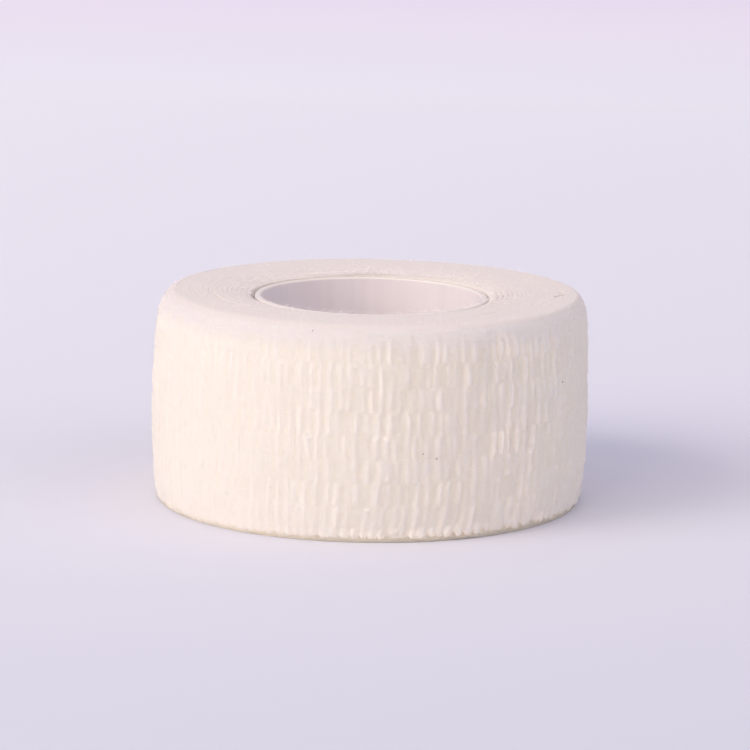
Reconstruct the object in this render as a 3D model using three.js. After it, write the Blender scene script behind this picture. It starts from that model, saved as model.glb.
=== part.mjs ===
// Cohesive bandage roll: a strip of crinkled elastic nonwoven cloth, wound on a thin plastic tube.
// It stands on one flat end. Units are millimetres, +Z runs up the axis, and the base is at z = 0.
// The front is -Y. The strip's cut end lies at the back, and from it the outermost turn draws in
// by one layer as it runs round by the left, the front and the right.
import * as THREE from "three";

// Driving sizes of the wound cloth
const clothWidth = 25; // width of the strip, so the height of the roll
const rollRadius = 26.4; // crests of the outermost turn at mid height, halfway round it
const turnPitch = 0.6; // what one turn adds to the radius, so the step at the cut end
const settle = 0.15; // the outside has settled this far sideways, which centres it on the tube
const footDraw = { size: 0.66, reach: 2.7 }; // the wall draws in towards the floor, fading upwards
const shoulderDraw = { size: 1, reach: 5.1 }; // and towards the top, fading downwards
const shoulder = { across: 1.8, down: 2.8 }; // the soft top edge is a quarter of this ellipse
const lip = { height: 0.42, tilt: 0.08 }; // the outermost turn's lower edge hangs above the floor
const footSetback = 0.55; // the flat base stops this far inside that edge

// Driving sizes of the tube and the cloth's fit on it
const coreBoreRadius = 13.2;
const coreWall = 0.8;
const coreHeight = 24.4; // the tube ends a little below the cloth's face
const coreBevel = 0.2;
const clothClearance = 0.4; // the innermost turn stands off the tube by this much
const innerEdgeRounding = 0.5;

// The crinkle: upright ribs, flattened in rows where the elastic threads run round the cloth
const ribCount = 142;
const ribDepth = 0.52; // from crest to valley
const threadPitch = 2.75;
const threadCount = 7; // the rows between the lip and the shoulder
const firstThread = 4.25;
const threadRibShare = 0.72; // depth left where a thread pinches the ribs
const lipScallop = 0.3; // valleys of the lower edge stand this much higher than its crests
const shoulderRows = [
  { degrees: 0, depthShare: 1 },
  { degrees: 30, depthShare: 0.85 },
  { degrees: 60, depthShare: 0.35 },
  { degrees: 90, depthShare: 0.1 },
];
const faintRib = { chance: 0.06, strength: 0.4 }; // a few ribs almost vanish between two threads
const ribStrength = { least: 0.8, most: 1.15 }; // the others differ within these shares of the depth
const ribWander = { size: 0.2, waves: 17, rise: 1.9 }; // ribs lean sideways together
const ribJitter = 0.22; // and each one a little by itself
const stillShare = 1 / 12; // share of a turn on each side of the cut end over which that fades out
const cutEndLean = 0.2; // the cut end slopes this far along the turn

// How far the wound cloth is out of round
const lumps = [
  { size: 0.07, waves: 3, rise: 6.5, start: 0.4 },
  { size: 0.05, waves: 5, rise: 4.1, start: 2.1 },
];

const fullTurn = 2 * Math.PI;
const cutEndAngle = fullTurn / 4;
const columnCount = 2 * ribCount;
const innerSides = 72;
const coreSides = 60;
const clothInnerRadius = coreBoreRadius + coreWall + clothClearance;

// An uneven but repeatable share from 0 to 1, worked out from two whole numbers.
const scatterMix = { first: 12.9898, second: 78.233, spread: 43758.5453 };
const scatterRows = { faint: 50, shift: 100, lip: 150 }; // each use draws from rows of its own
function scatter(first, second) {
  const mixed = Math.sin(first * scatterMix.first + second * scatterMix.second) * scatterMix.spread;
  return mixed - Math.floor(mixed);
}

// Crest radius of the outermost turn at a height, a share of a turn on from the cut end.
function crestRadius(height, share) {
  const spiral = turnPitch * (0.5 - share) - settle * Math.sin(share * fullTurn);
  const drawnIn =
    footDraw.size * Math.exp(-height / footDraw.reach) +
    shoulderDraw.size * Math.exp((height - clothWidth) / shoulderDraw.reach);
  let uneven = 0;
  for (const lump of lumps) {
    uneven += lump.size * Math.sin(lump.waves * share * fullTurn + height / lump.rise + lump.start);
  }
  return rollRadius + spiral - drawnIn + uneven;
}

// How deep the valley beside a rib is at one row.
function valleyDepth(rib, row, depthShare) {
  const isFaint = scatter(rib, row + scatterRows.faint) < faintRib.chance;
  const strength = THREE.MathUtils.lerp(ribStrength.least, ribStrength.most, scatter(rib, row));
  return ribDepth * depthShare * (isFaint ? faintRib.strength : strength);
}

// Sideways place of a rib at one row, in millimetres along the wall; still at the cut end.
function ribShift(rib, row, height) {
  const share = rib / ribCount;
  const free = Math.min(1, share / stillShare, (1 - share) / stillShare);
  const lean = Math.sin(ribWander.waves * share * fullTurn) * Math.sin(height / ribWander.rise);
  const jitter = scatter(rib, row + scatterRows.shift) - 0.5;
  return free * (ribWander.size * lean + ribJitter * jitter);
}

// One closed loop round the wall, a crest and a valley for each rib.
function wallLoop({ row, height, inset = 0, depthShare, tilt = 0, scallop = 0 }) {
  const loop = [];
  for (let column = 0; column < columnCount; column += 1) {
    const rib = Math.floor(column / 2);
    const inValley = column % 2 === 1;
    const share = (column + 0.5) / columnCount;
    const crest = crestRadius(height, share) - inset;
    const radius = inValley ? crest - valleyDepth(rib, row, depthShare) : crest;
    const isLast = column === columnCount - 1;
    const along = ribShift(rib, row, height) + (isLast ? cutEndLean : 0);
    const angle = cutEndAngle + share * fullTurn + along / rollRadius;
    const ragged = scallop * (inValley ? 1 : 0.5 * scatter(rib, row + scatterRows.lip));
    const rise = tilt * Math.sin(share * fullTurn) + ragged;
    loop.push(new THREE.Vector3(radius * Math.cos(angle), radius * Math.sin(angle), height + rise));
  }
  return loop;
}

// A plain round loop, which starts at the cut end's angle as the wall's loops do.
function roundLoop(radius, height, sides) {
  const loop = [];
  for (let side = 0; side < sides; side += 1) {
    const angle = cutEndAngle + (side / sides) * fullTurn;
    loop.push(new THREE.Vector3(radius * Math.cos(angle), radius * Math.sin(angle), height));
  }
  return loop;
}

// Skins a row of closed loops, the last one joined to the first, as one ring-shaped body.
// A band between two loops steps along whichever loop is behind, so their counts may differ.
function skinLoops(loops) {
  const positions = [];
  const starts = [];
  for (const loop of loops) {
    starts.push(positions.length / 3);
    for (const point of loop) positions.push(point.x, point.y, point.z);
  }
  const triangles = [];
  loops.forEach((loop, index) => {
    const next = (index + 1) % loops.length;
    const countA = loop.length;
    const countB = loops[next].length;
    let a = 0;
    let b = 0;
    while (a < countA || b < countB) {
      const here = starts[index] + (a % countA);
      const there = starts[next] + (b % countB);
      const stepA = b >= countB || (a < countA && (a + 1) / countA <= (b + 1) / countB);
      if (stepA) {
        a += 1;
        triangles.push(here, starts[index] + (a % countA), there);
      } else {
        b += 1;
        triangles.push(here, starts[next] + (b % countB), there);
      }
    }
  });
  const geometry = new THREE.BufferGeometry();
  geometry.setAttribute("position", new THREE.Float32BufferAttribute(positions, 3));
  geometry.setIndex(triangles);
  geometry.computeVertexNormals();
  return geometry;
}

// The rows of the wall from the floor up: the flat base's rim, the scalloped lip, a row at each
// thread with a row of full ribs before it, and the rows that round the shoulder.
function wallRows() {
  const rows = [
    { height: 0, inset: footSetback, depthShare: 0 },
    { height: lip.height, depthShare: 0.9, tilt: lip.tilt, scallop: lipScallop },
  ];
  for (let thread = 0; thread < threadCount; thread += 1) {
    const height = firstThread + thread * threadPitch;
    rows.push({ height: height - threadPitch / 2, depthShare: 1 });
    rows.push({ height, depthShare: threadRibShare });
  }
  for (const { degrees, depthShare } of shoulderRows) {
    const slope = THREE.MathUtils.degToRad(degrees);
    rows.push({
      height: clothWidth - shoulder.down * (1 - Math.sin(slope)),
      inset: shoulder.across * (1 - Math.cos(slope)),
      depthShare,
    });
  }
  return rows.map((entry, row) => ({ row, ...entry }));
}

// The wound cloth: one ring-shaped body with a flat base and top.
function bandageRoll() {
  const inner = clothInnerRadius;
  const loops = wallRows().map(wallLoop);
  loops.push(roundLoop(inner + innerEdgeRounding, clothWidth, innerSides));
  loops.push(roundLoop(inner, clothWidth - innerEdgeRounding, innerSides));
  loops.push(roundLoop(inner, 0, innerSides));
  const cloth = new THREE.MeshStandardMaterial({ color: "#f1e0d6", roughness: 0.95, metalness: 0 });
  const mesh = new THREE.Mesh(skinLoops(loops), cloth);
  mesh.name = "bandage_roll";
  return mesh;
}

// The plastic tube: a lathed wall with small bevels, open right through.
function coreTube() {
  const bore = coreBoreRadius;
  const outside = coreBoreRadius + coreWall;
  const bevel = coreBevel;
  const profile = [
    [bore + bevel, 0],
    [outside - bevel, 0],
    [outside, bevel],
    [outside, coreHeight - bevel],
    [outside - bevel, coreHeight],
    [bore + bevel, coreHeight],
    [bore, coreHeight - bevel],
    [bore, bevel],
    [bore + bevel, 0],
  ].map(([radius, height]) => new THREE.Vector2(radius, height));
  const geometry = new THREE.LatheGeometry(profile, coreSides);
  geometry.rotateX(fullTurn / 4);
  const plastic = new THREE.MeshStandardMaterial({ color: "#ece6e2", roughness: 0.38, metalness: 0 });
  const mesh = new THREE.Mesh(geometry, plastic);
  mesh.name = "core_tube";
  return mesh;
}

const roll = new THREE.Group();
roll.add(coreTube(), bandageRoll());

export default roll;
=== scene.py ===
# %% [markdown]
# A cohesive bandage roll
#
# The real object is one long strip of crinkled, elastic nonwoven cloth, wound on a thin plastic tube.
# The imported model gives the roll's size and place. This lesson dresses it: the strip's last turn with
# every crinkle, the turns under it, the tube, and the loose fibres that make cloth look soft.

# %% Load the frame
import math

import bpy
import numpy as np
from mathutils import Matrix, Vector


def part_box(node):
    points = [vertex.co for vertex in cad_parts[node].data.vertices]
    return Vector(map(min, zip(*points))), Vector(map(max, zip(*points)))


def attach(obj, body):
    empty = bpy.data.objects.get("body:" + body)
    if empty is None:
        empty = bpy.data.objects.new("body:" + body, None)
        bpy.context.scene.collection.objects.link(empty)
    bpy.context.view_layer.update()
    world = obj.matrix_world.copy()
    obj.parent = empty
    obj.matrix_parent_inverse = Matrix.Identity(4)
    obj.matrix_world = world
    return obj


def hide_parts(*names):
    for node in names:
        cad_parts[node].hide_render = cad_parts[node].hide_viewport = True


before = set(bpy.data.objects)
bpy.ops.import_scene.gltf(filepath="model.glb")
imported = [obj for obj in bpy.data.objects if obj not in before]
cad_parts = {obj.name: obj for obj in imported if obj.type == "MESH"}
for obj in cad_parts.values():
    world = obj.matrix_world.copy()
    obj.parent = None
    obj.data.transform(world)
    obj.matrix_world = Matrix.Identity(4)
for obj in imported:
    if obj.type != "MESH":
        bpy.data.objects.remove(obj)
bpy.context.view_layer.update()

print("nodes in the frame:", sorted(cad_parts))

# %% [markdown]
# Sizes
#
# Everything below is in millimetres, as on a maker's drawing, and one helper turns it into metres when
# a mesh is made. The strip's width and the tube's size come from the frame. Places round the roll are a
# share of a turn, from 0 to 1, anticlockwise from the strip's cut end at the back (+Y).

# %% Driving sizes
MM = 0.001
FULL_TURN = 2 * math.pi
CUT_END_ANGLE = FULL_TURN / 4

cloth_low, cloth_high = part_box("bandage_roll")
tube_low, tube_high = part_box("core_tube")
CLOTH_WIDTH = (cloth_high.z - cloth_low.z) / MM
TUBE_RADIUS = (tube_high.x - tube_low.x) / 2 / MM
TUBE_HEIGHT = tube_high.z / MM
TUBE_WALL = 0.8

ROLL_RADIUS = 26.4  # crests of the last turn, halfway round it
TURN_PITCH = 0.6  # what one turn adds to the radius
SETTLE, SWAY = 0.02, 0.45  # how far the roll stands aside at its foot, and how much further at its top
GAP_ROUND_TUBE = 0.5
INNER_RADIUS = TUBE_RADIUS + GAP_ROUND_TUBE
GIRTH = FULL_TURN * ROLL_RADIUS
FOOT_DRAW, FOOT_REACH = 0.75, 3.4  # the wall draws in towards the floor, fading upwards
SHOULDER_DRAW, SHOULDER_REACH = 0.9, 5.1  # and towards the top, fading downwards
SHOULDER_ACROSS = {"middle": 1.5, "swing": 0.4, "share": 0.4}
SHOULDER_DOWN = 3.1
LIP_HEIGHT, LIP_SWING, LIP_SHARE = 0.24, 0.22, 0.6  # the lower edge, which swings up at one side
LUMPS = [
    {"size": 0.07, "waves": 3, "rise": 6.5, "start": 0.4},
    {"size": 0.05, "waves": 5, "rise": 4.1, "start": 2.1},
]

print(f"strip {CLOTH_WIDTH:.1f} mm wide")
print(f"tube {2 * TUBE_RADIUS:.1f} mm across and {TUBE_HEIGHT:.1f} mm high")

# %% [markdown]
# The outside of the roll
#
# The roll isn't a true cylinder: it is a spiral that steps in by one layer a turn, its edges are drawn in,
# it is a little out of round, and its top stands slightly aside of its foot. One formula holds all this.
# Every piece of cloth takes its radius from it, so the pieces fit each other, and they stay within a
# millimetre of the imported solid.

# %% The crest radius
def crest_radius(height, share):
    """Radius of the crests: roll radius + pitch * (0.5 - share) - (settle + sway * height) * sin(share) -
    the draw at the foot, size * exp(-height / reach) - the same at the shoulder + two low waves round it."""
    aside = SETTLE + SWAY * height / CLOTH_WIDTH
    spiral = TURN_PITCH * (0.5 - share) - aside * np.sin(share * FULL_TURN)
    foot = FOOT_DRAW * np.exp(-height / FOOT_REACH)
    top = SHOULDER_DRAW * np.exp((height - CLOTH_WIDTH) / SHOULDER_REACH)
    uneven = 0.0
    for lump in LUMPS:
        wave = lump["waves"] * share * FULL_TURN + height / lump["rise"] + lump["start"]
        uneven = uneven + lump["size"] * np.sin(wave)
    return ROLL_RADIUS + spiral - foot - top + uneven


def shoulder_across(share):
    """How far the soft top edge reaches inwards: the most at one share, as middle + swing * cos(turn)."""
    turn = (share - SHOULDER_ACROSS["share"]) * FULL_TURN
    return SHOULDER_ACROSS["middle"] + SHOULDER_ACROSS["swing"] * np.cos(turn)


def on_roll(radius, share, height):
    """Points at radius and height, a share of a turn on from the cut end: x = r cos a, y = r sin a."""
    angle = CUT_END_ANGLE + share * FULL_TURN
    radius, angle, height = np.broadcast_arrays(radius, angle, height)
    return np.stack([radius * np.cos(angle), radius * np.sin(angle), height], axis=-1)


def ways_on_roll(share):
    """Directions at a share of the turn: out of the roll, round it, and up."""
    angle = CUT_END_ANGLE + share * FULL_TURN
    cosine, sine, level = np.cos(angle), np.sin(angle), 0 * angle
    out = np.stack([cosine, sine, level], axis=-1)
    return out, np.stack([-sine, cosine, level], axis=-1), np.array([0.0, 0.0, 1.0])


# %% [markdown]
# Two helpers for uneven cloth
#
# Cloth never repeats exactly. Soft noise gives a smooth random height over a plane. It comes from a
# seeded table, so each run of the script makes the same roll. A bell sets how far a local change reaches.

# %% Soft noise and a bell
NOISE_CELLS = 1024


def bell(distance):
    """1 at no distance, fading on both sides as exp(-distance * distance)."""
    return np.exp(-(distance**2))


def soft_noise(x, y=0, seed=0):
    """Random heights from -1 to 1 at whole numbers of x and y, blended between them by t * t * (3 - 2t)."""
    table = np.random.default_rng(seed).uniform(-1, 1, (NOISE_CELLS, NOISE_CELLS))
    x, y = np.broadcast_arrays(x, y)
    left, low = np.floor(x).astype(int), np.floor(y).astype(int)
    across, up = x - left, y - low
    across, up = across * across * (3 - 2 * across), up * up * (3 - 2 * up)

    def corner(step_x, step_y):
        return table[(left + step_x) % NOISE_CELLS, (low + step_y) % NOISE_CELLS]

    below = corner(0, 0) * (1 - across) + corner(1, 0) * across
    above = corner(0, 1) * (1 - across) + corner(1, 1) * across
    return below * (1 - up) + above * up


# %% [markdown]
# From arrays to meshes
#
# Most pieces of the roll are a grid of points: a closed outline carried along a path. So one helper joins
# rings of points by four-sided faces and closes the two ends. A swept piece is also checked by its volume,
# so that its faces look outwards, and it stores its own map and shades.

# %% Make a piece from points and faces
def new_piece(name, points, faces, smooth=0):
    """A mesh object from points in millimetres. The first so many of its faces are shaded smooth."""
    mesh = bpy.data.meshes.new(name)
    mesh.from_pydata((points * MM).tolist(), [], faces)
    mesh.polygons.foreach_set("use_smooth", np.arange(len(faces)) < smooth)
    mesh.update()
    piece = bpy.data.objects.new(name, mesh)
    bpy.context.scene.collection.objects.link(piece)
    print(f"{name}: {sum(len(face) - 2 for face in faces)} triangles")
    return piece


# %% Make a piece from a grid
def signed_volume(points, faces):
    """Sum over the faces' triangles of a . (b x c) / 6, which is positive when the faces look outwards."""
    a, b, c, d = (points[faces[:, corner]] for corner in range(4))
    return np.sum(a * (np.cross(b, c) + np.cross(c, d))) / 6


def ring_faces(rings, closed=False):
    """Faces that join rings[shape, ring, side] of points, each ring to the next, and the faces that close
    each shape's first and last ring. In a closed shape the last ring is joined to the first instead."""
    index = np.arange(rings[..., 0].size).reshape(rings.shape[:3])
    here, ahead = (index, np.roll(index, -1, axis=1)) if closed else (index[:, :-1], index[:, 1:])
    sides = np.stack([here, np.roll(here, -1, axis=2), np.roll(ahead, -1, axis=2), ahead], axis=-1)
    caps = np.stack([index[:, 0, ::-1], index[:, -1]], axis=1).reshape(-1, rings.shape[2])
    return sides.reshape(-1, 4), caps[:0] if closed else caps


def swept_piece(name, grid, cloth_map=None, shades=None, closed=False):
    """A piece from grid[column, row] of points. Rows close on themselves as an outline, and columns run
    along the path, which may be closed too."""
    points = grid.reshape(-1, 3)
    faces, caps = ring_faces(grid[None], closed)
    if signed_volume(points, faces) < 0:
        faces, caps = faces[:, ::-1], caps[:, ::-1]
    piece = new_piece(name, points, faces.tolist() + caps.tolist(), smooth=len(faces))
    mesh = piece.data
    corners = np.empty(len(mesh.loops), dtype=np.int32)
    mesh.loops.foreach_get("vertex_index", corners)
    if cloth_map is not None:
        layer = mesh.uv_layers.new(name="cloth")
        layer.uv.foreach_set("vector", cloth_map.reshape(-1, 2)[corners].astype(np.float32).ravel())
    for shade, values in (shades or {}).items():
        attribute = mesh.attributes.new(shade, "FLOAT", "POINT")
        attribute.data.foreach_set("value", values.astype(np.float32).ravel())
    return piece


def joined_shapes(name, rings):
    """Many small shapes as one piece, from rings[shape, ring, side] of points."""
    faces, caps = ring_faces(rings)
    return new_piece(name, rings.reshape(-1, 3), faces.tolist() + caps.tolist())


# %% [markdown]
# The crinkle
#
# The cloth is two thin webs with stretched elastic threads glued between them, side by side, all along
# the strip. When the threads relax they gather the webs, and upright ridges pop up between each thread
# and the next. So a ridge keeps its place inside one row, steps a little sideways at a thread, is pinched
# there, and some ridges fade or swell. A plain wave would look like corrugated card, so each ridge gets
# its own place, strength and bow in each row, drawn once from seeded tables.

# %% The ridges' table
RIDGE_COUNT = 142
THREAD_PITCH = 2.75
FIRST_THREAD = 1.5
THREAD_ROWS = 11
RIDGE_DEPTH = 0.33
RIDGE_WIDTH, WIDTH_RANGE = 0.29, (0.65, 1.35)
SKIRT_SHARE, SKIRT_WIDTH = 0.12, 1.8
SHIFT_TOGETHER, SHIFT_ALONE = 0.35, 0.2  # sideways, in ridge spacings: with its neighbours, and by itself
RIDGES_TOGETHER, ROWS_TOGETHER, TOGETHER_START = 2.7, 0.8, 0.5
BOW = 0.05
STRENGTH_RANGE, STRENGTH_CHANGE = (0.45, 1.05), 0.2
LIP_STRENGTH_RANGE = (0.6, 1.15)
FAINT_CHANCE, FAINT_STRENGTH = 0.1, 0.2
THREAD_STEP = 0.24
PINCH_SHARE, PINCH_REACH = 0.3, 0.3
WIGGLE, WIGGLE_RISE = 0.03, 0.5
NOTCH, NOTCH_RISE = 0.45, 0.55

dice = np.random.default_rng(20)
row_number = np.arange(THREAD_ROWS)[:, None]
ridge_number = np.arange(RIDGE_COUNT)[None, :]
TABLE_SHAPE = (THREAD_ROWS, RIDGE_COUNT)
row_place = row_number * ROWS_TOGETHER + TOGETHER_START
ridge_shift = SHIFT_TOGETHER * soft_noise(ridge_number / RIDGES_TOGETHER, row_place, seed=3)
ridge_shift = ridge_shift + dice.uniform(-SHIFT_ALONE, SHIFT_ALONE, TABLE_SHAPE)
ridge_bow = dice.normal(0, BOW, TABLE_SHAPE)
ridge_strength = dice.uniform(*STRENGTH_RANGE, TABLE_SHAPE)
ridge_strength = ridge_strength + dice.uniform(-STRENGTH_CHANGE, STRENGTH_CHANGE, RIDGE_COUNT)
ridge_strength[dice.random(TABLE_SHAPE) < FAINT_CHANCE] = FAINT_STRENGTH
ridge_strength[0] = dice.uniform(*LIP_STRENGTH_RANGE, RIDGE_COUNT)
ridge_width = RIDGE_WIDTH * dice.uniform(*WIDTH_RANGE, TABLE_SHAPE)
spacing = GIRTH / RIDGE_COUNT
print(f"{RIDGE_COUNT} ridges in {THREAD_ROWS} rows, {spacing:.2f} mm apart")


# %% The crinkle's height
def ridges_of_row(row, ridge_place, height):
    """How far the ridges of each height's row stand up. A ridge lies at number + shift + bow * 4s(1 - s),
    where s runs from 0 to 1 between two threads, with a wiggle of soft noise, and notches of soft noise
    change its strength on the way up. Where d is the distance in ridge widths, it adds
    strength * ((1 - skirt share) * bell(d) + skirt share * bell(d / skirt width))."""
    s = (height - FIRST_THREAD) / THREAD_PITCH + 1 - row
    number = np.arange(RIDGE_COUNT)[None, :] + RIDGE_COUNT * row[:, None]
    place = ridge_shift[row] + (4 * s * (1 - s))[:, None] * ridge_bow[row]
    place = place + WIGGLE * soft_noise(height[:, None] / WIGGLE_RISE, number, seed=14)
    notched = 1 + NOTCH * soft_noise(height[:, None] / NOTCH_RISE, number, seed=15)
    strength = ridge_strength[row] * notched
    nearest = np.round(ridge_place).astype(int)
    stand = np.zeros((len(height), len(ridge_place)))
    for step in (-2, -1, 0, 1, 2):
        ridge = (nearest + step) % RIDGE_COUNT
        distance = (ridge_place - (nearest + step) - place[:, ridge]) / ridge_width[row][:, ridge]
        crest = (1 - SKIRT_SHARE) * bell(distance)
        skirt = SKIRT_SHARE * bell(distance / SKIRT_WIDTH)
        stand += strength[:, ridge] * (crest + skirt)
    return stand


def crinkle(ridge_place, height):
    """How far the cloth stands up, from 0 in a valley to about 1 on a crest. At a thread one row's ridges
    end and the next row's begin, blended by t * t * (3 - 2t) within a short step. The pinch at a thread
    lowers all of them, as 1 - pinch share * bell(distance from the thread / pinch reach)."""
    place = (height - FIRST_THREAD) / THREAD_PITCH + 1
    thread = np.clip(np.round(place), 1, THREAD_ROWS - 1).astype(int)
    from_thread = (place - thread) * THREAD_PITCH
    t = np.clip(0.5 + from_thread / (2 * THREAD_STEP), 0, 1)[:, None]
    t = t * t * (3 - 2 * t)
    stand = ridges_of_row(thread - 1, ridge_place, height) * (1 - t)
    stand = stand + ridges_of_row(thread, ridge_place, height) * t
    return stand * (1 - PINCH_SHARE * bell(from_thread / PINCH_REACH))[:, None]


# %% [markdown]
# The last turn
#
# The outermost turn is the piece that everyone sees, so it is a real sheet with a thickness: out over the
# crinkles, round the soft shoulder, in over the top, and back down on its inner side. It could be a flat
# cloth with a displacement map, but then the exported mesh would be smooth. Here each point is worked out.
# It is one mesh, because light that scatters inside the cloth stops at a mesh's end and would leave a dark
# seam there. Its columns lie closest together at the front, which saves faces. The lower edge has teeth,
# because it is cut across the ridges. The ridges lean low down, and hands have calmed them at the left and
# at the far right.

# %% The last turn's outline
COLUMNS_PER_RIDGE = {"back": 5.0, "front": 8.6, "spread": 0.22}
COLUMN_SAMPLES = 4000
WALL_ROWS, THREAD_GATHER = 84, 0.35
SHOULDER_ROWS, LAST_SLOPE = 12, 0.995  # the last slope before the level top, as a share of the quarter
TUCK = 0.02  # share of a turn by which the sheet runs on under the cut end
SHEET, LEAST_SHEET = 0.56, 0.1  # its thickness, and what is left of it under the deepest valley
STANDS_PROUD = 0.06  # how far a wrinkle may stand out of the crest radius
FLOOR_CLEARANCE = 0.02
SCALLOP, SCALLOP_SLOPE, TEETH_REACH = 0.55, 1.1, 4
RAGGED, RAGGED_LENGTH = 0.05, 0.33
FLARE, FLARE_REACH = 0.3, 0.9
CALM = [
    {"share": 0.35, "spread": 0.18, "size": 0.72},
    {"share": 0.71, "spread": 0.07, "size": 0.5},
]
LEAN = {"size": 0.75, "share": 0.56, "spread": 0.11, "height": 7.0, "elsewhere": 0.25}
FINE_WRINKLE, WRINKLE_ON_TOP = 0.04, 0.4
WRINKLES = [
    {"size": 1.0, "along": 0.42, "up": 1.1, "seed": 7},
    {"size": 0.6, "along": 0.3, "up": 0.35, "seed": 8},
]
PATCH = {"size": 0.3, "along": 6, "up": 4}
FADE = {"start": -0.2, "wander": 0.7, "length": 0.9, "reach": 1.3}
# How fast the painted shade on the shoulder fades round the roll.
SHOULDER_SHADE_POWER = 1.6
CALM_SHADE, TOP_SHADE = 0.6, 0.75
# The lip's teeth get a painted highlight: their crest shade is raised towards the crest colour.
LIP_HIGHLIGHT, LIP_HIGHLIGHT_POWER = 0.5, 0.3


def column_shares():
    """Shares of a turn where the columns lie, closest together at the front: each ridge gets
    back + (front - back) * exp(-((share - 0.5) / spread) ** 4) columns."""
    fine = np.linspace(0, 1 + TUCK, COLUMN_SAMPLES)
    back, front = COLUMNS_PER_RIDGE["back"], COLUMNS_PER_RIDGE["front"]
    near_front = np.exp(-(((fine - 0.5) / COLUMNS_PER_RIDGE["spread"]) ** 4))
    per_ridge = back + (front - back) * near_front
    count = np.cumsum(per_ridge) * RIDGE_COUNT * (fine[1] - fine[0])
    return np.interp(np.linspace(count[0], count[-1], int(count[-1])), count, fine)


def wall_heights():
    """Heights of the wall's rows: even steps u, drawn together at the threads as
    u - g / k * sin(k * (u - first)), where k is a full turn for each thread's pitch and g is the share by
    which a step shrinks there."""
    even = np.linspace(LIP_HEIGHT, CLOTH_WIDTH - SHOULDER_DOWN, WALL_ROWS)
    k = FULL_TURN / THREAD_PITCH
    return np.clip(even - THREAD_GATHER / k * np.sin(k * (even - FIRST_THREAD)), even[0], even[-1])


def lean_shift(height, share):
    """Sideways lean of the ridges near the floor: size * (1 - height / reach) ** 2, the most at one share
    of the turn and fading round it as a bell."""
    low = np.clip(1 - height / LEAN["height"], 0, 1) ** 2
    return LEAN["size"] * low * (LEAN["elsewhere"] + bell((share - LEAN["share"]) / LEAN["spread"]))


def calm_at(share):
    """1 where the ridges stand in full, less a bell at each calm spot."""
    return 1 - sum(spot["size"] * bell((share - spot["share"]) / spot["spread"]) for spot in CALM)


def ridge_fade(height, along):
    """How much of a ridge is left at a height: all of it on the wall, and half a bell past the start of
    the shoulder, which wanders up and down by soft noise."""
    wander = FADE["wander"] * soft_noise(along / FADE["length"], seed=6)
    past = height - (CLOTH_WIDTH - SHOULDER_DOWN) - FADE["start"] + wander
    return bell(np.clip(past, 0, None) / FADE["reach"])


def lip_teeth(share, along, stand, calm):
    """How far the lower edge is drawn up: a slow swing round the roll, a little soft noise, and teeth
    where stand is low, between two crests. It never sinks into the floor."""
    swing = LIP_SWING * np.cos((share - LIP_SHARE) * FULL_TURN)
    teeth = swing + RAGGED * soft_noise(along / RAGGED_LENGTH, seed=5)
    teeth = teeth + SCALLOP * calm * np.clip(1 - SCALLOP_SLOPE * stand, 0, 1)
    return np.clip(teeth, FLOOR_CLEARANCE - LIP_HEIGHT, None)


def fine_wrinkles(along, height):
    """Soft noise of two sizes, which crosses the ridges."""
    return sum(
        wrinkle["size"] * soft_noise(along / wrinkle["along"], height / wrinkle["up"], seed=wrinkle["seed"])
        for wrinkle in WRINKLES
    )


def last_turn_outside(share):
    """Points and shades of the outer face by row and column, each point's height, and each column's calm.
    A point lies at crest radius - depth, drawn in along a quarter ellipse on the shoulder. The crest shade
    is high on a crest and paints a highlight along the lip. The painted shoulder shade greys the shoulder,
    most halfway round it and where it is widest, towards the lamps."""
    wall = wall_heights()
    slope = np.append(np.linspace(0, LAST_SLOPE, SHOULDER_ROWS)[1:], 1) * FULL_TURN / 4
    spring = CLOTH_WIDTH - SHOULDER_DOWN
    rough_height = np.concatenate([wall, spring + SHOULDER_DOWN * np.sin(slope)])[:, None]
    inset = np.concatenate([0 * wall, 1 - np.cos(slope)])[:, None] * shoulder_across(share)
    along = share * GIRTH
    stand = crinkle(share * RIDGE_COUNT, rough_height[:, 0])
    calm = calm_at(share)
    fade = ridge_fade(rough_height, along)
    near_lip = np.exp(-(rough_height - LIP_HEIGHT) / FLARE_REACH)
    teeth = lip_teeth(share, along, stand[0], calm)
    height = rough_height + teeth * np.clip(1 - (rough_height - LIP_HEIGHT) / TEETH_REACH, 0, 1)
    patch = 1 + PATCH["size"] * soft_noise(along / PATCH["along"], height / PATCH["up"], seed=9)
    depth = RIDGE_DEPTH * calm * fade * (1 - stand) * (1 + FLARE * near_lip) * patch
    wrinkled = WRINKLE_ON_TOP + (1 - WRINKLE_ON_TOP) * fade
    depth = depth + FINE_WRINKLE * fine_wrinkles(along, height) * wrinkled
    depth = np.clip(depth, -STANDS_PROUD, SHEET - LEAST_SHEET)
    radius = crest_radius(height, share) - inset - depth
    turned = share - lean_shift(height, share) / GIRTH
    crest = (CALM_SHADE + (stand - CALM_SHADE) * calm) * fade + TOP_SHADE * (1 - fade)
    # Painted highlight along the lip's teeth.
    crest = crest + LIP_HIGHLIGHT * near_lip**LIP_HIGHLIGHT_POWER
    # Painted shade on the shoulder: greyest halfway round it, where it is widest, towards the lamps.
    shade_round_roll = (0.5 + 0.5 * np.cos((share - SHOULDER_ACROSS["share"]) * FULL_TURN)) ** SHOULDER_SHADE_POWER
    painted_shoulder_shade = np.concatenate([0 * wall, np.sin(2 * slope)])[:, None] * shade_round_roll
    return on_roll(radius, turned, height), {"crest": crest, "painted_shoulder_shade": painted_shoulder_shade}, height, calm


# %% [markdown]
# Closing the sheet
#
# The outer face alone would have no thickness. So its columns of points are carried on, over the
# shoulder's inner side and down to the floor, and back up to the lip. The last two rows are the next
# layer's edge, which shows as a soft band under the teeth; it takes the valley colour, as painted shade.
# The shoulder's upper rows take the second material of the piece, so that they match the strip's cut
# edges beside them.

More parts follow.
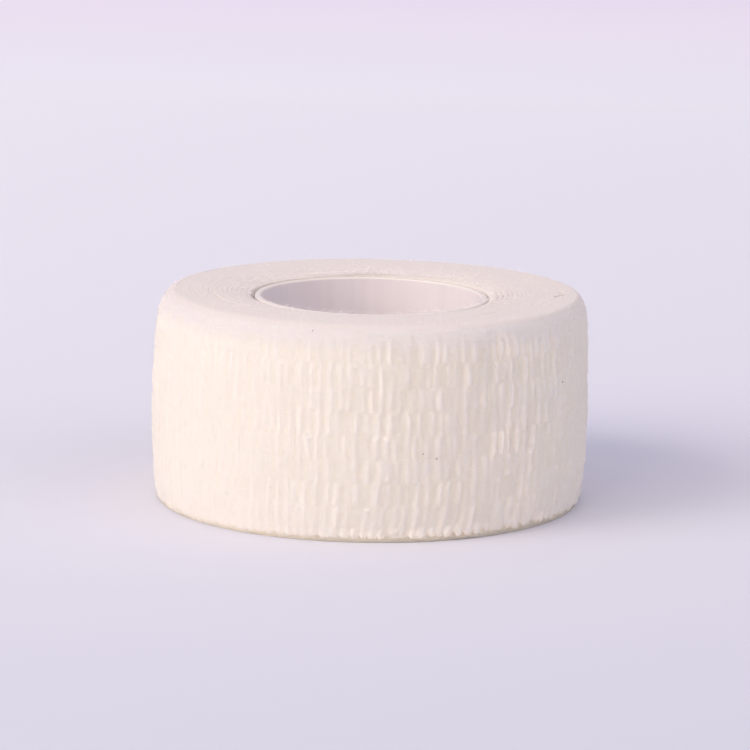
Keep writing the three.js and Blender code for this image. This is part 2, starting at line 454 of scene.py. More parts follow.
# %% Build the last turn
INNER_SLOPES = [90, 60, 30, 0]
INNER_HEIGHTS = [15.0, 8.0, 3.0]
UNDER_LIP, UNDER_FOOT, FOOT_SPREAD = 0.46, 0.08, 0.28
LIP_TURNED_IN = 0.02
TOP_BAND_ROWS = 6


def last_turn():
    """The sheet as a closed outline carried round the roll: up the outer face and down the inner one."""
    share = column_shares()
    columns = len(share)
    outside, shades, height, calm = last_turn_outside(share)
    slope = np.radians(INNER_SLOPES)[:, None]
    over = shoulder_across(share) * (1 - np.cos(slope)) + SHEET * np.cos(slope)
    down = SHOULDER_DOWN * (1 - np.sin(slope)) + SHEET * np.sin(slope)
    straight = np.array([*INNER_HEIGHTS, FLOOR_CLEARANCE])[:, None]
    inner_height = np.concatenate([CLOTH_WIDTH - down, straight])
    inner_inset = np.concatenate([over, np.full((len(straight), columns), SHEET)])
    inner_radius = crest_radius(inner_height, share) - inner_inset
    inside = on_roll(inner_radius, share, inner_height)
    crest = crest_radius(LIP_HEIGHT, share)
    foot = on_roll(crest - UNDER_FOOT - FOOT_SPREAD * calm, share, FLOOR_CLEARANCE)
    under = [foot, on_roll(crest - UNDER_LIP, share, height[0] + LIP_TURNED_IN)]
    grid = np.concatenate([outside, inside, under]).transpose(1, 0, 2)
    # The inner rows get crest shade 0, so the band under the teeth takes the valley colour: painted shade.
    within = np.zeros((len(inside) + len(under), columns))
    shades = {name: np.concatenate([values, within]).T for name, values in shades.items()}
    along = np.broadcast_to(share * GIRTH, grid.shape[1::-1])
    rise = np.concatenate([height, grid[:, len(height):, 2].T])
    cloth_map = np.stack([along, rise], axis=-1).transpose(1, 0, 2) / CLOTH_WIDTH
    piece = swept_piece("last_turn", grid, cloth_map, shades)
    row = np.arange(len(piece.data.polygons)) % grid.shape[1]
    on_top = (row >= len(height) - TOP_BAND_ROWS) & (row < len(height))
    piece.data.polygons.foreach_set("material_index", on_top.astype(np.int32))
    return piece


outermost = last_turn()

# %% [markdown]
# The turns under it
#
# The rest of the strip is wound under the last turn, and its two cut edges make the flat ends of the
# roll. It could be a disc with rings drawn on it, but a real spiral catches the light like the real one,
# so a thin upright outline is carried along the whole spiral. One mesh would be too heavy, so the
# strip is made in two lengths that meet end to end. The first turns hug the tube, with a bulge at one side
# and a gap at the other, and a few stretches of the edge have sunk a little and show as fine lines.

# %% The spiral
STRIP_TURNS, MIDDLE_TURN = 19.5, 9.5
EDGE_OUTLINE = np.array(
    [[0.0, 1.6], [0.03, 1.0], [0.2, 0.25], [0.5, 0.0], [0.8, 0.25], [0.97, 1.0], [1.0, 1.6]]
)
EDGE_ROUND, EDGE_DEPTH = 0.009, 1.6  # millimetres for each unit of the outline's depth, and its whole depth
FIRST_TURNS_HUG, HUG_REACH = 6.0, 2
BULGE = {"turn": 18.71, "spread": 0.11, "size": 0.5}
COLUMN_STEP = 0.21
EDGE_WANDER = {"size": 0.01, "long": 7, "short": 0.8, "short_share": 0.7}
CRIMP, CRIMP_LENGTH = 0.006, 0.45
OVERLAP = 0.25  # under the last turn from this share of the shoulder on, so lower by the sheet
SHOWN_DROP, SHOWN_FROM = 0.03, 0.02  # before that the strip lies a hair lower than the last turn
BORE_DIP, BORE_DIP_REACH = 0.6, 1.6
LAYER = (ROLL_RADIUS + 0.5 * TURN_PITCH - INNER_RADIUS) / (STRIP_TURNS + 1)
LOOSE_STRETCHES = [
    {"turn": 11.31, "spread": 0.045, "drop": 0.09},
    {"turn": 4.76, "spread": 0.008, "drop": 0.2},
    {"turn": 9.62, "spread": 0.015, "drop": 0.05},
]


def strip_radius(turn):
    """Outer face of the strip, turn turns in from the cut end. From the tube outwards it grows by a layer
    a turn, floor(t) + frac(t) ** p, where p falls from 6 to 1, because the first turns hug the tube."""
    inward = STRIP_TURNS - turn
    power = 1 + (FIRST_TURNS_HUG - 1) * np.exp(-inward / HUG_REACH)
    whole = np.floor(inward)
    return INNER_RADIUS + LAYER * (1 + whole + (inward - whole) ** power)


def strip_top(radius, turn):
    """Height of the strip's upper edge: level, lower by dip * exp(-distance / reach) towards the bore, and
    under the last turn it follows the shoulder's ellipse. A few short stretches have sunk a little."""
    across = shoulder_across(turn)
    flat_end = crest_radius(CLOTH_WIDTH, turn % 1) - across
    out = np.clip((radius - flat_end) / across, 0, 1)
    hidden = SHOULDER_DOWN * (1 - np.sqrt(1 - out**2))
    hidden = hidden + np.where(out > OVERLAP, SHEET, SHOWN_DROP * (out > SHOWN_FROM))
    dip = BORE_DIP * np.exp(-(radius - INNER_RADIUS) / BORE_DIP_REACH)
    for stretch in LOOSE_STRETCHES:
        dip = dip + stretch["drop"] * bell((turn - stretch["turn"]) / stretch["spread"])
    return CLOTH_WIDTH - hidden - dip


def strip_length(name, first, last):
    """A length of the wound strip. Its outline has a rounded upper and lower edge, given as offsets from
    the outer face in layers and as depths, and straight faces between them. Near the tube one stretch
    bulges as a bell."""
    across, deep = EDGE_OUTLINE.T
    steps = int((last - first) * FULL_TURN * strip_radius((first + last) / 2) / COLUMN_STEP)
    turn = np.linspace(first, last, steps)[:, None]
    outer_face = strip_radius(turn)
    bulge = BULGE["size"] * bell((turn - BULGE["turn"]) / BULGE["spread"])
    top_radius = outer_face - (LAYER + bulge) * across
    squeeze = (top_radius - INNER_RADIUS) / (ROLL_RADIUS - INNER_RADIUS)
    low_radius = top_radius - FOOT_DRAW * squeeze
    top_radius = top_radius - SHOULDER_DRAW * squeeze
    along = np.cumsum(FULL_TURN * outer_face * (last - first) / steps, axis=0)
    short = soft_noise(along / EDGE_WANDER["short"], seed=12)
    wander = soft_noise(along / EDGE_WANDER["long"], seed=11) + EDGE_WANDER["short_share"] * short
    top = strip_top(top_radius, turn) - EDGE_ROUND * deep + EDGE_WANDER["size"] * wander
    low = FLOOR_CLEARANCE + EDGE_ROUND * deep + 0 * turn
    crimp = CRIMP * soft_noise(along / CRIMP_LENGTH, seed=13)
    upper = on_roll(top_radius + crimp, turn, top)
    lower = on_roll(low_radius, turn, low)[:, ::-1]
    grid = np.concatenate([upper, lower], axis=1)
    height = np.concatenate([top, low[:, ::-1]], axis=1)
    cloth_map = np.stack([np.broadcast_to(along, height.shape), height], axis=-1) / CLOTH_WIDTH
    # The crest shade is 1 on the middle of each cut edge and 0 at its rounded sides, so the grooves between
    # turns take the valley colour: painted shade.
    shade = np.broadcast_to(np.concatenate([1 - deep / EDGE_DEPTH] * 2), height.shape)
    return swept_piece(name, grid, cloth_map, {"crest": shade})


strip_lengths = [
    strip_length("wound_strip_outer", 1 + TUCK, MIDDLE_TURN),
    strip_length("wound_strip_inner", MIDDLE_TURN, STRIP_TURNS),
]

# %% [markdown]
# The tube
#
# The tube is thin white plastic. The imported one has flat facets, so it is turned again here with a finer
# outline, softly rounded at both rims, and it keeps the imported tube's size.

# %% Turn the tube
TUBE_SIDES = 240
RIM_ROUND, RIM_STEP = 0.22, 15


def turned_tube():
    """An outline of the wall with quarter circles at its four corners, carried round the axis."""
    bore = TUBE_RADIUS - TUBE_WALL
    corners = [(TUBE_RADIUS, TUBE_HEIGHT, 0), (bore, TUBE_HEIGHT, 90), (bore, 0, 180), (TUBE_RADIUS, 0, 270)]
    outline = []
    for radius, height, start in corners:
        middle_radius = radius + (RIM_ROUND if radius == bore else -RIM_ROUND)
        middle_height = height + (RIM_ROUND if height == 0 else -RIM_ROUND)
        for degrees in range(start, start + 91, RIM_STEP):
            arc = math.radians(degrees)
            radius_there = middle_radius + RIM_ROUND * math.cos(arc)
            outline.append((radius_there, middle_height + RIM_ROUND * math.sin(arc)))
    outline = np.array(outline)
    share = np.linspace(0, 1, TUBE_SIDES, endpoint=False)[:, None]
    grid = on_roll(outline[None, :, 0], share, outline[None, :, 1])
    return swept_piece("core_tube_turned", grid, closed=True)


tube = turned_tube()

# %% [markdown]
# Loose fibres
#
# Nonwoven cloth is a web of short fibres, and their ends stick out. A few thousand curved hairs soften the
# lip, the shoulder and the bore's edge, where the cloth was cut and frays. Blender's hair could do it,
# but hair isn't a mesh, so each fibre is a three-sided tube and all of them are one mesh. One dark hair
# has strayed onto the top.

# %% Grow the fibres
FIBRE_RINGS, FIBRE_SIDES = 5, 3
TIP_SHRINK = 0.67
LOWEST_FIBRE = 0.02


def fibre_mesh(name, root, away, length, thickness, curl, seed):
    """Fibres from arrays of roots and directions. Point s of a fibre, from 0 to 1, lies at
    root + length * (s * away + s * s * bend), and a triangle round it shrinks to a third at the tip."""
    dice = np.random.default_rng(seed)
    count = len(root)
    bend = dice.normal(0, curl, (count, 3))
    s = np.linspace(0, 1, FIBRE_RINGS)[None, :, None]
    line = root[:, None] + length[:, None, None] * (s * away[:, None] + s * s * bend[:, None])
    side = np.cross(away, dice.normal(0, 1, (count, 3)))
    side = side / np.linalg.norm(side, axis=1, keepdims=True)
    other = np.cross(away, side)
    other = other / np.linalg.norm(other, axis=1, keepdims=True)
    angle = np.arange(FIBRE_SIDES) * FULL_TURN / FIBRE_SIDES
    ring = side[:, None] * np.cos(angle)[None, :, None] + other[:, None] * np.sin(angle)[None, :, None]
    shrink = (thickness / 2 * (1 - TIP_SHRINK * s))[..., None]
    points = line[:, :, None] + shrink * ring[:, None]
    points[..., 2] = np.clip(points[..., 2], LOWEST_FIBRE, None)
    return joined_shapes(name, points)


FIBRES = {  # how many, how far their roots are sunk in, and the longest one
    "wall": (2600, 0.12, 0.8),
    "shoulder": (900, 0.05, 0.7),
    "top": (1800, 0.1, 0.8),
    "lip": (700, 0.2, 0.35),
    "bore": (350, 0.15, 0.9),
}
MORE_AT_BORE_BACK = 260
SIDEWAYS, SHORTEST = 0.7, 0.3


def fibre_field(seed):
    """Roots, directions and lengths of the fibres. Each adds outward * out + across * round + upward * up,
    made one long, where across is random. Lengths run from a share of the longest one up to it."""
    dice = np.random.default_rng(seed)
    roots, ways, lengths = [], [], []

    def add(radius, share, height, outward, upward, longest):
        across = dice.normal(0, SIDEWAYS, len(share))
        out, beside, up = ways_on_roll(share)
        way = outward[:, None] * out + across[:, None] * beside + upward[:, None] * up
        roots.append(on_roll(radius, share, height))
        ways.append(way / np.linalg.norm(way, axis=1, keepdims=True))
        lengths.append(dice.uniform(SHORTEST, 1, len(share)) * longest)

    many, sunk, longest = FIBRES["wall"]
    share, height = dice.random(many), dice.uniform(1, 22, many)
    radius = crest_radius(height, share) - sunk
    add(radius, share, height, dice.uniform(0, 0.3, many), dice.normal(0, 0.6, many), longest)

    many, sunk, longest = FIBRES["shoulder"]
    share, slope = dice.random(many), dice.uniform(0, FULL_TURN / 4, many)
    height = CLOTH_WIDTH - SHOULDER_DOWN * (1 - np.sin(slope))
    radius = crest_radius(height, share) - shoulder_across(share) * (1 - np.cos(slope)) - sunk
    add(radius, share, height - 0.03, 0.4 * np.cos(slope), 0.4 * np.sin(slope), longest)

    many, sunk, longest = FIBRES["top"]
    share, radius = dice.random(many), dice.uniform(INNER_RADIUS + 0.2, ROLL_RADIUS - 3, many)
    height = CLOTH_WIDTH - sunk + 0 * share
    add(radius, share, height, dice.normal(0, 0.7, many), dice.uniform(0.05, 0.35, many), longest)

    many, sunk, longest = FIBRES["lip"]
    share, height = dice.random(many), LIP_HEIGHT + dice.uniform(0.02, 0.3, many)
    radius = crest_radius(height, share) - sunk
    add(radius, share, height, dice.uniform(0, 0.5, many), -dice.uniform(0.1, 0.3, many), longest)

    many, sunk, longest = FIBRES["bore"]
    share = np.concatenate([dice.random(many), dice.normal(0, 0.045, MORE_AT_BORE_BACK)])
    many, radius = len(share), INNER_RADIUS + 0.25 + 0 * share
    height = CLOTH_WIDTH - sunk + 0 * share
    add(radius, share, height, -dice.uniform(0.3, 1, many), dice.normal(-0.05, 0.2, many), longest)
    return np.concatenate(roots), np.concatenate(ways), np.concatenate(lengths)


fibre_roots, fibre_ways, fibre_lengths = fibre_field(seed=31)
fibres = fibre_mesh(
    "loose_fibres", fibre_roots, fibre_ways, fibre_lengths, thickness=0.034, curl=0.4, seed=32
)

STRAY_ROOT = np.array([[21.8, -2.7, CLOTH_WIDTH + 0.04]])
STRAY_WAY = np.array([[0.7, 0.71, 0.02]])
STRAY_LENGTH = np.array([2.2])
stray = fibre_mesh("stray_fibre", STRAY_ROOT, STRAY_WAY, STRAY_LENGTH, thickness=0.05, curl=0.02, seed=33)

# %% [markdown]
# Specks in the web
#
# Unbleached fibre keeps a few dark bits of husk. They are tiny flattened grains caught in the surface, too
# few to be worth a texture, so each one is listed and joined with the others in one mesh.

# %% Place the specks
SPECKS = [  # share of the turn, height and width
    (0.4575, 24.23, 0.19),
    (0.538, 10.5, 0.15),
    (0.5478, 9.9, 0.2),
    (0.4086, 8.65, 0.11),
    (0.4296, 5.91, 0.1),
    (0.6629, 16.85, 0.19),
    (0.5919, 20.14, 0.1),
    (0.255, 6.4, 0.13),
    (0.262, 3.2, 0.12),
    (0.93, 13.0, 0.14),
    (0.08, 18.0, 0.12),
]
GRAIN_SIDES, GRAIN_RINGS, GRAIN_POLE = 8, 5, 0.02
GRAIN_FLATNESS, GRAIN_SUNK = 0.5, 0.08


def grain_rings():
    """Each grain is a small ball, its outline points (sin b, -cos b) turned about an axis that points out
    of the cloth and flattened along it. On the wall it is sunk in, and less so higher on the shoulder."""
    pole = np.linspace(GRAIN_POLE, math.pi - GRAIN_POLE, GRAIN_RINGS)[:, None, None]
    turn = (np.arange(GRAIN_SIDES) * FULL_TURN / GRAIN_SIDES)[:, None]
    grains = []
    for share, height, size in SPECKS:
        out, beside, up = ways_on_roll(share)
        above = np.clip((height - CLOTH_WIDTH + SHOULDER_DOWN) / SHOULDER_DOWN, 0, 1)
        inset = shoulder_across(share) * (1 - np.sqrt(1 - above**2))
        radius = crest_radius(height, share) - inset - GRAIN_SUNK * (1 - above)
        ball = np.sin(pole) * (np.cos(turn) * beside + np.sin(turn) * up)
        ball = ball - GRAIN_FLATNESS * np.cos(pole) * out
        grains.append(on_roll(radius, share, height) + size / 2 * ball)
    return np.array(grains)


speck_piece = joined_shapes("husk_specks", grain_rings())

# %% [markdown]
# Node helpers
#
# Materials are node trees. Short helpers keep the code readable: they add a node and feed it, map a value
# from one range to another, add a ramp of colours, mix two colours, and start a material.

# %% Helpers for node trees
def feed(tree, node, inputs):
    """Feeds a node's inputs, by name or number. A value that is another node's output is linked."""
    for name, value in inputs.items():
        if isinstance(value, bpy.types.NodeSocket):
            tree.links.new(value, node.inputs[name])
        else:
            node.inputs[name].default_value = value


def add_node(tree, kind, inputs=None, **settings):
    """Adds a node, sets its plain properties, and feeds its inputs."""
    node = tree.nodes.new(kind)
    for name, value in settings.items():
        setattr(node, name, value)
    feed(tree, node, inputs or {})
    return node


def map_range(tree, value, before=(0.0, 1.0), after=(0.0, 1.0)):
    """The value carried from the range before to the range after, and held within it."""
    limits = {"From Min": before[0], "From Max": before[1], "To Min": after[0], "To Max": after[1]}
    return add_node(tree, "ShaderNodeMapRange", {"Value": value, **limits}).outputs["Result"]


def colour_ramp(tree, value, colours):
    """The colour for a value from 0 to 1, blended between the colours given by their places."""
    ramp = add_node(tree, "ShaderNodeValToRGB", {"Fac": value})
    elements = ramp.color_ramp.elements
    for place in list(colours)[1:-1]:
        elements.new(place)
    for element, (place, colour) in zip(elements, colours.items()):
        element.position = place
        element.color = (*colour, 1)
    return ramp.outputs["Color"]


def mix_colours(tree, factor, first, second, blend="MIX"):
    """The first colour, and the second one mixed or multiplied into it by the factor."""
    inputs = {"Factor": factor, "A": first, "B": second}
    return add_node(tree, "ShaderNodeMix", inputs, data_type="RGBA", blend_type=blend).outputs["Result"]


def bump(tree, height, strength, distance):
    """A normal tilted by the slope of a height."""
    inputs = {"Height": height, "Strength": strength, "Distance": distance}
    return add_node(tree, "ShaderNodeBump", inputs).outputs["Normal"]


def new_material(name):
    """A material with one Principled BSDF, returned with its tree and that shader."""
    material = bpy.data.materials.new(name)
    material.use_nodes = True
    tree = material.node_tree
    return material, tree, tree.nodes["Principled BSDF"]


def own_place(tree):
    """Each point's place in the piece's own space, in metres."""
    return add_node(tree, "ShaderNodeTexCoord").outputs["Object"]


def scatter_light(tree, shader, weight, radius, scale):
    """Light goes in and comes out a little aside, furthest for red. The weight is one number."""
    shader.subsurface_method = "BURLEY"
    inputs = {"Subsurface Weight": weight, "Subsurface Radius": radius, "Subsurface Scale": scale}
    feed(tree, shader, inputs)


# %% [markdown]
# A web of fibres
#
# Wall, edges and loose fibres are the same nonwoven. Seen close, it is a web of fibres that mostly run
# along the strip. Two noise textures, each stretched along its own direction, give that web, and their
# larger value counts, as with crossing hairs. The group puts out a height for bump and a soft mottle.

# %% The fibre web group
WEB_ANGLES, WEB_STRETCH = (20, -25), (0.22, 1, 1)
MOTTLE_SHARE = 0.16
WEB_SOCKETS = [
    ("Vector", "INPUT", "NodeSocketVector"),
    ("Scale", "INPUT", "NodeSocketFloat"),
    ("Height", "OUTPUT", "NodeSocketFloat"),
    ("Mottle", "OUTPUT", "NodeSocketFloat"),
]


def fibre_web_group():
    """height = the larger of two noises, each stretched along its own angle, and mottle = a noise about
    six times as coarse."""
    group = bpy.data.node_groups.new("Fibre web", "ShaderNodeTree")
    for name, side, kind in WEB_SOCKETS:
        group.interface.new_socket(name, in_out=side, socket_type=kind)
    given = add_node(group, "NodeGroupInput").outputs
    vector, scale = given["Vector"], given["Scale"]
    heights = []
    for degrees in WEB_ANGLES:
        turn = {"Vector": vector, "Rotation": (0, 0, math.radians(degrees)), "Scale": WEB_STRETCH}
        turned = add_node(group, "ShaderNodeMapping", turn).outputs["Vector"]
        noise = {"Vector": turned, "Scale": scale, "Detail": 3.0, "Roughness": 0.6}
        heights.append(add_node(group, "ShaderNodeTexNoise", noise).outputs["Fac"])
    larger = add_node(group, "ShaderNodeMath", dict(enumerate(heights)), operation="MAXIMUM")
    coarse = add_node(group, "ShaderNodeMath", {0: scale, 1: MOTTLE_SHARE}, operation="MULTIPLY")
    noise = {"Vector": vector, "Scale": coarse.outputs["Value"], "Detail": 2.0}
    mottle = add_node(group, "ShaderNodeTexNoise", noise).outputs["Fac"]
    add_node(group, "NodeGroupOutput", {"Height": larger.outputs["Value"], "Mottle": mottle})
    return group


fibre_web = fibre_web_group()
print("group made:", fibre_web.name)


# %% [markdown]
# The cloth
#
# The real cloth is matt and cream white. Light goes into it a little and comes out again, so its folds
# stay soft, which is what subsurface scattering does. Valleys get a darker, creamier colour than crests:
# this is painted shade, for the light that bounces between their warm walls. The piece's own "crest"
# shade says where the crests are, and it also carries a painted highlight along the lip's teeth.

# %% The cloth's material
WEB_SCALE = 150.0
MOTTLE_SHADE = (0.96, 1.0)
CREST_FULL = 0.85  # the crest shade at which the cloth has its full crest colour
# Painted shade: the grey that the shoulder's colour is multiplied by.
PAINTED_SHOULDER_GREY = (0.89, 0.89, 0.93, 1)
# The darker, creamier valley colours are painted shade, in the valleys and in the grooves between turns.
WALL_CREST, WALL_VALLEY, WALL_BUMP = (0.784, 0.734, 0.650), (0.764, 0.706, 0.574), 0.0001
EDGE_CREST, EDGE_VALLEY, EDGE_BUMP = (0.78, 0.715, 0.622), (0.77, 0.705, 0.605), 0.00008


def cloth_material(name, crest_colour, valley_colour, bump_distance):
    """Base colour = valley to crest colour by the crest shade, darkened by up to 4% by the mottle, and
    greyed on the shoulder by the painted shoulder shade."""
    material, tree, shader = new_material(name)
    place = add_node(tree, "ShaderNodeUVMap", uv_map="cloth").outputs["UV"]
    web = add_node(tree, "ShaderNodeGroup", {"Vector": place, "Scale": WEB_SCALE}, node_tree=fibre_web)
    crest = add_node(tree, "ShaderNodeAttribute", attribute_name="crest").outputs["Fac"]
    painted_shoulder_shade = add_node(tree, "ShaderNodeAttribute", attribute_name="painted_shoulder_shade").outputs["Fac"]
    colour = colour_ramp(tree, crest, {0.0: valley_colour, CREST_FULL: crest_colour})
    shade = map_range(tree, web.outputs["Mottle"], after=MOTTLE_SHADE)
    colour = mix_colours(tree, 1.0, colour, shade, "MULTIPLY")
    colour = mix_colours(tree, painted_shoulder_shade, colour, PAINTED_SHOULDER_GREY, "MULTIPLY")
    normal = bump(tree, web.outputs["Height"], 0.5, bump_distance)
    feed(tree, shader, {"Base Color": colour, "Normal": normal, "Roughness": 0.95})
    feed(tree, shader, {"Specular IOR Level": 0.25})
    return material


wall_cloth = cloth_material("crinkled nonwoven", WALL_CREST, WALL_VALLEY, WALL_BUMP)
wall_tree = wall_cloth.node_tree
scatter_light(wall_tree, wall_tree.nodes["Principled BSDF"], 1.0, (1.0, 0.8, 0.62), 0.0016)
edge_cloth = cloth_material("cut edges of the nonwoven", EDGE_CREST, EDGE_VALLEY, EDGE_BUMP)


# %% The fibres' and specks' materials
FIBRE_COLOURS = {0.0: (0.88, 0.82, 0.76), 1.0: (0.95, 0.91, 0.89)}
HUSK_COLOURS = {0.0: (0.10, 0.08, 0.07), 1.0: (0.30, 0.25, 0.22)}


def fibre_material():
    """White, matt, with a slow change of tint from place to place."""
    material, tree, shader = new_material("loose fibre")
    inputs = {"Vector": own_place(tree), "Scale": 900.0}
    web = add_node(tree, "ShaderNodeGroup", inputs, node_tree=fibre_web)
    colour = colour_ramp(tree, web.outputs["Mottle"], FIBRE_COLOURS)
    feed(tree, shader, {"Base Color": colour, "Roughness": 0.8})
    return material


def speck_material():
    """Brown husk, darker and lighter by a small noise."""
    material, tree, shader = new_material("husk")
    noise = add_node(tree, "ShaderNodeTexNoise", {"Vector": own_place(tree), "Scale": 6000.0})
    colour = colour_ramp(tree, noise.outputs["Fac"], HUSK_COLOURS)
    feed(tree, shader, {"Base Color": colour, "Roughness": 0.7})
    return material


# %% [markdown]
# The tube's plastic
#
# The tube is moulded or drawn, so faint streaks run along it. Stretching a noise texture along Z gives
# them, in the colour and in a very low bump. The plastic is smooth, so it has a soft gloss.

# %% The tube's material
STREAK = 60
BORE_COLOURS = {0.3: (0.755, 0.69, 0.665), 0.7: (0.784, 0.72, 0.695)}
# Painted bounce light from the cloth, on the upper rim's cut face.
RIM_BOUNCE_COLOUR = (0.79, 0.73, 0.62, 1)
RIM_HEIGHTS = ((TUBE_HEIGHT - RIM_ROUND) * MM, (TUBE_HEIGHT - 0.3 * RIM_ROUND) * MM)


def tube_material():
    """Base colour and roughness follow a noise that is drawn out along the tube. The cut face of its upper
    rim has a cream colour of its own: painted bounce light from the creamy cloth round it."""
    material, tree, shader = new_material("white tube plastic")
    place = own_place(tree)
    streaks = add_node(tree, "ShaderNodeMapping", {"Vector": place, "Scale": (1, 1, 1 / STREAK)})
    inputs = {"Vector": streaks.outputs["Vector"], "Scale": 900.0, "Detail": 3.0}
    noise = add_node(tree, "ShaderNodeTexNoise", inputs).outputs["Fac"]
    height = add_node(tree, "ShaderNodeSeparateXYZ", {"Vector": place}).outputs["Z"]
    on_rim = map_range(tree, height, before=RIM_HEIGHTS)
    colour = mix_colours(tree, on_rim, colour_ramp(tree, noise, BORE_COLOURS), RIM_BOUNCE_COLOUR)
    gloss = map_range(tree, noise, after=(0.34, 0.5))
    feed(tree, shader, {"Base Color": colour, "Roughness": gloss, "Normal": bump(tree, noise, 0.3, 0.00002)})
    scatter_light(tree, shader, 0.15, (1.0, 0.8, 0.7), 0.0008)
    return material


# %% [markdown]
# Put the pieces in the frame
#
# Each piece rides on the roll's one body and wears its material. The last turn
# and the wound strip stand for the imported cloth, and the turned tube stands for the imported tube.

# %% Dress and attach the pieces
def dress(piece, material):
    piece.data.materials.append(material)
    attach(piece, "root")
    print(piece.name, "wears", material.name)


dress(outermost, wall_cloth)
outermost.data.materials.append(edge_cloth)
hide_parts("bandage_roll")
for length in strip_lengths:
    dress(length, edge_cloth)
dress(fibres, fibre_material())
husk = speck_material()
dress(speck_piece, husk)
dress(stray, husk)
dress(tube, tube_material())
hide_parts("core_tube")

# %% [markdown]
# The floor
#
# A plain pale floor that turns up far away has no horizon line. It is a wide shallow dish.

# %% Make the floor
FLOOR_RADIUS, FLOOR_RISE, LEVEL_SHARE = 5000.0, 900, 0.25
FLOOR_SIDES, FLOOR_RINGS, FIRST_RING = 96, 48, 0.01


def dish_floor():
    """Rings at R * share ** 2, level inside a quarter of R, then rising as a parabola."""
    ring = np.linspace(FIRST_RING, 1, FLOOR_RINGS)[:, None]
    radius = FLOOR_RADIUS * ring**2
    angle = (np.arange(FLOOR_SIDES) * FULL_TURN / FLOOR_SIDES)[None, :]
    past_level = (radius / FLOOR_RADIUS - LEVEL_SHARE) / (1 - LEVEL_SHARE)
    rise = FLOOR_RISE * np.clip(past_level, 0, 1) ** 2
    points = np.stack([radius * np.cos(angle), radius * np.sin(angle), rise + 0 * angle], axis=-1)
    index = np.arange(FLOOR_RINGS * FLOOR_SIDES).reshape(FLOOR_RINGS, FLOOR_SIDES)
    inner, outer = index[:-1], index[1:]
    faces = np.stack([inner, outer, np.roll(outer, -1, axis=1), np.roll(inner, -1, axis=1)], axis=-1)
    faces = faces.reshape(-1, 4).tolist() + [index[0].tolist()]
    return new_piece("studio_floor", points.reshape(-1, 3), faces, smooth=len(faces))


# %% The floor's material
# Painted light: the card's colour rises towards the back to make up for the lamps' fall-off.
CARD_COLOURS = {0.0: (0.64, 0.648, 0.672), 0.14: (0.713, 0.704, 0.724), 1.0: (1.0, 0.99, 0.94)}
CARD_REACH = (-0.1, 0.45)  # metres behind the roll, from the first colour to the last one
GLOW_COLOUR, GLOW_REACH = (0.09, 0.045, 0.065, 1), (0.42, 0.7)


def floor_material():
    """Pale lavender card, darker at the front and lighter towards the back: painted light for the lamps'
    fall-off. Far away, where the lamps don't reach, it glows faintly, as if a background light fell on it."""
    material, tree, shader = new_material("pale card")
    back = add_node(tree, "ShaderNodeSeparateXYZ", {"Vector": own_place(tree)}).outputs["Y"]
    colour = colour_ramp(tree, map_range(tree, back, before=CARD_REACH), CARD_COLOURS)
    glow = mix_colours(tree, map_range(tree, back, before=GLOW_REACH), (0, 0, 0, 1), GLOW_COLOUR)
    feed(tree, shader, {"Base Color": colour, "Emission Color": glow, "Emission Strength": 1.0})
    feed(tree, shader, {"Roughness": 0.9, "Specular IOR Level": 0.1})
    return material


floor = dish_floor()
floor.data.materials.append(floor_material())

# %% [markdown]
# Light
#
# The light is soft and comes from the left, a little in front, so the wall is bright on the left and a
# soft shadow lies to the right. Two large area lights do that, a cool one and a wider, warmer one, and a
# weaker third one from the right keeps the wall from going dark there. The pale room round them is the
# world's colour.

# %% Set the lights
LIGHTS = {
    "key": {"turn": -65, "rise": 32, "far": 1.0, "size": 0.6, "power": 4.5, "colour": (0.93, 0.94, 1.0)},
    "warm": {"turn": -42, "rise": 30, "far": 1.1, "size": 0.9, "power": 5.5, "colour": (1.0, 0.81, 0.605)},
    "right": {"turn": 60, "rise": 30, "far": 1.1, "size": 0.9, "power": 2.7, "colour": (1.0, 0.97, 0.95)},
}
MIDDLE = Vector((0, 0, CLOTH_WIDTH / 2 * MM))
WORLD_COLOUR = (0.79, 0.765, 1.0)
WORLD_STRENGTH = 0.713


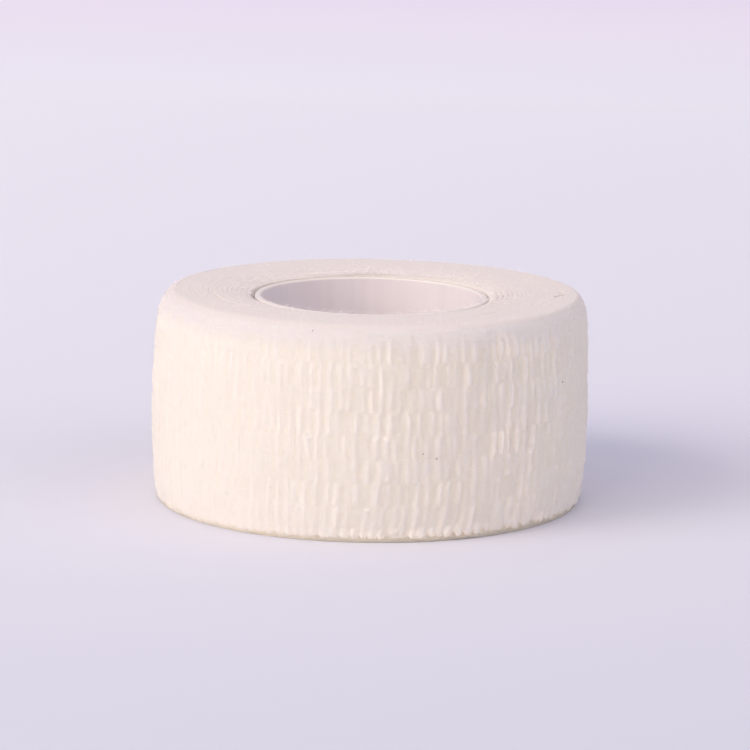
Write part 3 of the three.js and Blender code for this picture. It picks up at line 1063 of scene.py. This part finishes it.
def soft_light(name, turn, rise, far, size, power, colour):
    """A square area light that looks at the middle of the roll, from turn degrees round it, where 0 is the
    front and 90 the right, and from rise degrees above the floor."""
    data = bpy.data.lights.new(name, "AREA")
    data.size = size
    data.energy = power
    data.color = colour
    light = bpy.data.objects.new(name, data)
    bpy.context.scene.collection.objects.link(light)
    around, up = math.radians(turn), math.radians(rise)
    way = Vector((math.sin(around) * math.cos(up), -math.cos(around) * math.cos(up), math.sin(up)))
    facing = way.to_track_quat("Z", "Y").to_matrix().to_4x4()
    light.matrix_world = Matrix.Translation(MIDDLE + far * way) @ facing
    print(f"{name}: {power} W, {turn} degrees round and {rise} up")


for name, light in LIGHTS.items():
    soft_light(name, **light)

world = bpy.data.worlds.new("pale room")
world.use_nodes = True
background = world.node_tree.nodes["Background"]
feed(world.node_tree, background, {"Color": (*WORLD_COLOUR, 1), "Strength": WORLD_STRENGTH})
bpy.context.scene.world = world
bpy.context.scene.view_settings.view_transform = "Standard"
bpy.context.scene.view_settings.look = "None"

# %% [markdown]
# The camera
#
# The camera looks down on the roll by about 11 degrees. These numbers come from fitting the rims of the
# roll and of its bore in the photograph: the focal length in pixels of a 750 pixel picture, the place in
# the picture where the roll's middle falls, and a small turn about the view line.

# %% Place the camera
PICTURE_SIDE = 750
FOCAL_PIXELS = 3305
CAMERA_DISTANCE = 0.4
CAMERA_ELEVATION = math.radians(11.24)
CAMERA_ROLL = math.radians(1.0)
MIDDLE_PIXEL = (369.6, 392.2)
SENSOR_WIDTH = 36.0


def photo_camera():
    """Looks along +Y at the roll's middle. The shift moves that middle to its pixel."""
    data = bpy.data.cameras.new("camera")
    data.sensor_width = SENSOR_WIDTH
    data.lens = FOCAL_PIXELS / PICTURE_SIDE * SENSOR_WIDTH
    data.shift_x = (PICTURE_SIDE / 2 - MIDDLE_PIXEL[0]) / PICTURE_SIDE
    data.shift_y = (MIDDLE_PIXEL[1] - PICTURE_SIDE / 2) / PICTURE_SIDE
    camera = bpy.data.objects.new("camera", data)
    bpy.context.scene.collection.objects.link(camera)
    back = Vector((0, -math.cos(CAMERA_ELEVATION), math.sin(CAMERA_ELEVATION)))
    turn = (-back).to_track_quat("-Z", "Y").to_matrix().to_4x4() @ Matrix.Rotation(CAMERA_ROLL, 4, "Z")
    camera.matrix_world = Matrix.Translation(MIDDLE + CAMERA_DISTANCE * back) @ turn
    bpy.context.scene.camera = camera
    print(f"lens {data.lens:.1f} mm at {CAMERA_DISTANCE} m")


photo_camera()
